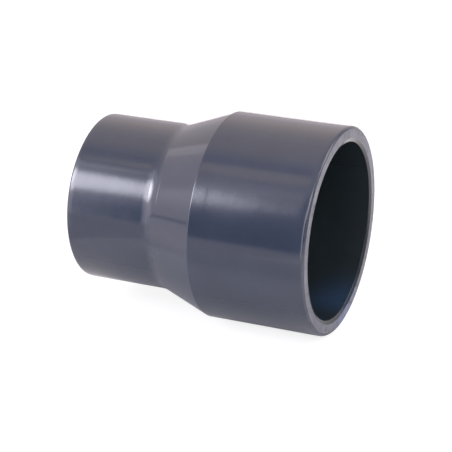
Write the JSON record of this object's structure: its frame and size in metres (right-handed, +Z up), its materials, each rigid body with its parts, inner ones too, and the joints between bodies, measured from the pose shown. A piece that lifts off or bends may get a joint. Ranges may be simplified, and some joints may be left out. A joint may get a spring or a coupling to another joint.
{
  "type": "pipe reducer",
  "caption": "Concentric plastic pipe reducer: a wide and a narrow solvent socket joined by a short cone, with a pipe stop behind each socket.",
  "frame": {"origin": "centre of the large end's face, on the pipe axis", "axes": "+X along the pipe axis out of the large mouth, +Z up, as it lies on its side; the small end is at -X"},
  "size_m": [0.0931, 0.075, 0.075],
  "materials": {
    "grey_plastic": "satin"
  },
  "bodies": {
    "root": {"large_socket": "grey_plastic", "large_pipe_stop": "grey_plastic", "reducing_cone": "grey_plastic", "small_pipe_stop": "grey_plastic", "small_socket": "grey_plastic"}
  },
  "joints": []
}
